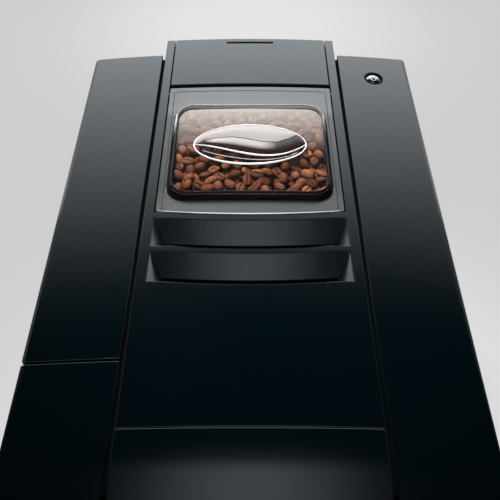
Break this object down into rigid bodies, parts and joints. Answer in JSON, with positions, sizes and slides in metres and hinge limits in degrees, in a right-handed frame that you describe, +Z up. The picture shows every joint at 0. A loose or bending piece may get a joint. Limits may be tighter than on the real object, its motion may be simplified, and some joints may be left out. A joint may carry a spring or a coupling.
{
  "type": "bean to cup coffee machine",
  "caption": "Countertop coffee machine with a sloping top, a raised clear window over the bean container, a powder flap, a cup niche with a spout and a drip tray.",
  "frame": {"origin": "middle of the machine's outline on the table", "axes": "+Z up, -Y out of the front with the cup niche, +X to the right seen from the front"},
  "size_m": [0.28, 0.446, 0.351],
  "materials": {
    "casing": "satin",
    "dark_plastic": "matte",
    "chrome": "polished",
    "silver_plastic": "satin",
    "lid_grey": "satin",
    "clear_window": "clear",
    "roast": "satin",
    "rubber": "matte",
    "steel": "satin",
    "block_metal": "cast",
    "inner_plastic": "matte",
    "tank_clear": "clear",
    "hose_silicone": "satin",
    "brew_plastic": "matte",
    "board_green": "matte",
    "display_glass": "gloss"
  },
  "bodies": {
    "chassis": {"base_plate": "dark_plastic", "foot_front_left": "rubber", "foot_front_right": "rubber", "foot_rear_left": "rubber", "foot_rear_right": "rubber", "left_frame": "steel", "right_frame": "steel", "left_side_panel": "casing", "right_side_panel": "casing", "power_button_ring": "dark_plastic", "center_cover": "casing", "rear_cover": "casing", "mains_inlet": "dark_plastic", "flap_hinge_pin": "steel", "lid_hinge_pin": "steel", "lid_seal": "rubber", "bean_hopper": "inner_plastic", "bean_charge": "roast", "grinder_housing": "inner_plastic", "upper_burr": "steel", "grinder_motor": "steel", "grounds_chute": "inner_plastic", "powder_funnel": "inner_plastic", "brew_unit_frame": "brew_plastic", "brew_cylinder": "brew_plastic", "water_pump": "steel", "flow_meter": "brew_plastic", "thermoblock": "block_metal", "water_hose": "hose_silicone", "tank_shelf": "inner_plastic", "tank_valve": "brew_plastic", "niche_wall": "dark_plastic", "front_panel": "casing", "display_window": "display_glass", "control_board": "board_green"},
    "lid": {"hopper_lid": "lid_grey", "lid_window": "clear_window", "bean_relief": "silver_plastic"},
    "flap": {"powder_flap": "casing"},
    "power_key": {"power_button": "silver_plastic"},
    "menu_key_1": {"menu_button_1": "dark_plastic"},
    "menu_key_2": {"menu_button_2": "dark_plastic"},
    "menu_key_3": {"menu_button_3": "dark_plastic"},
    "menu_key_4": {"menu_button_4": "dark_plastic"},
    "menu_key_5": {"menu_button_5": "dark_plastic"},
    "menu_key_6": {"menu_button_6": "dark_plastic"},
    "grind_setting": {"grind_knob": "dark_plastic"},
    "burr": {"lower_burr": "steel"},
    "brew_gear": {"brew_drive_gear": "brew_plastic"},
    "piston": {"brew_piston": "brew_plastic"},
    "spout": {"spout_carriage": "inner_plastic", "spout_cover": "casing", "coffee_nozzle_left": "silver_plastic", "coffee_nozzle_right": "silver_plastic"},
    "tray": {"drip_tray": "dark_plastic"},
    "grid": {"drip_grid": "chrome"},
    "container": {"grounds_container": "dark_plastic"},
    "tank": {"water_tank": "tank_clear"},
    "tank_cover": {"tank_lid": "casing"},
    "rocker": {"mains_switch": "dark_plastic"}
  },
  "joints": [
    {"name": "lid_hinge", "type": "hinge", "parent": "chassis", "child": "lid", "pos_m": [0, 0.15003, 0.3349], "axis": [-1, 0, 0], "range_deg": [0, 80]},
    {"name": "flap_hinge", "type": "hinge", "parent": "chassis", "child": "flap", "pos_m": [0, 0.21787, 0.34443], "axis": [-1, 0, 0], "range_deg": [0, 75]},
    {"name": "power_press", "type": "slide", "parent": "chassis", "child": "power_key", "axis": [-0.0712, 0.1392, -0.9877], "range_m": [0, 0.0015], "stiffness_N_per_m": 300, "springref_m": -0.001},
    {"name": "menu_press_1", "type": "slide", "parent": "chassis", "child": "menu_key_1", "axis": [0, 1, 0], "range_m": [0, 0.0012], "stiffness_N_per_m": 300, "springref_m": -0.0005},
    {"name": "menu_press_2", "type": "slide", "parent": "chassis", "child": "menu_key_2", "axis": [0, 1, 0], "range_m": [0, 0.0012], "stiffness_N_per_m": 300, "springref_m": -0.0005},
    {"name": "menu_press_3", "type": "slide", "parent": "chassis", "child": "menu_key_3", "axis": [0, 1, 0], "range_m": [0, 0.0012], "stiffness_N_per_m": 300, "springref_m": -0.0005},
    {"name": "menu_press_4", "type": "slide", "parent": "chassis", "child": "menu_key_4", "axis": [0, 1, 0], "range_m": [0, 0.0012], "stiffness_N_per_m": 300, "springref_m": -0.0005},
    {"name": "menu_press_5", "type": "slide", "parent": "chassis", "child": "menu_key_5", "axis": [0, 1, 0], "range_m": [0, 0.0012], "stiffness_N_per_m": 300, "springref_m": -0.0005},
    {"name": "menu_press_6", "type": "slide", "parent": "chassis", "child": "menu_key_6", "axis": [0, 1, 0], "range_m": [0, 0.0012], "stiffness_N_per_m": 300, "springref_m": -0.0005},
    {"name": "grind_turn", "type": "hinge", "parent": "chassis", "child": "grind_setting", "pos_m": [0.0429, 0.13637, 0.32227], "axis": [0.0283, -0.1392, 0.9899], "range_deg": [-135, 135]},
    {"name": "burr_spin", "type": "hinge", "parent": "chassis", "child": "burr", "pos_m": [0, 0.045, 0.2], "axis": [0, 0, 1], "continuous": true},
    {"name": "brew_gear_turn", "type": "hinge", "parent": "chassis", "child": "brew_gear", "pos_m": [0, 0.142, 0.1083], "axis": [0, 0, 1], "range_deg": [0, 360]},
    {"name": "piston_lift", "type": "slide", "parent": "chassis", "child": "piston", "axis": [0, 0, 1], "range_m": [0, 0.02001]},
    {"name": "spout_height", "type": "slide", "parent": "chassis", "child": "spout", "axis": [0, 0, 1], "range_m": [-0.04, 0]},
    {"name": "tray_slide", "type": "slide", "parent": "chassis", "child": "tray", "axis": [0, -1, 0], "range_m": [0, 0.15]},
    {"name": "grid_lift", "type": "slide", "parent": "tray", "child": "grid", "axis": [0, 0, 1], "range_m": [0, 0.03]},
    {"name": "container_lift", "type": "slide", "parent": "tray", "child": "container", "axis": [0, 0, -1], "range_m": [-0.02, 0]},
    {"name": "tank_lift", "type": "slide", "parent": "chassis", "child": "tank", "axis": [0, 0, 1], "range_m": [0, 0.15]},
    {"name": "tank_lid_hinge", "type": "hinge", "parent": "tank", "child": "tank_cover", "pos_m": [-0.13875, 0.20095, 0.33261], "axis": [0, -0.9903, -0.1392], "range_deg": [0, 75]},
    {"name": "mains_rocker", "type": "hinge", "parent": "chassis", "child": "rocker", "pos_m": [-0.033, 0.21588, 0.041], "axis": [1, 0, 0], "range_deg": [0, 12]}
  ],
  "couplings": [
    {"joint": "piston_lift", "follows": "brew_gear_turn", "m_per_rad": 0.0031831}
  ]
}
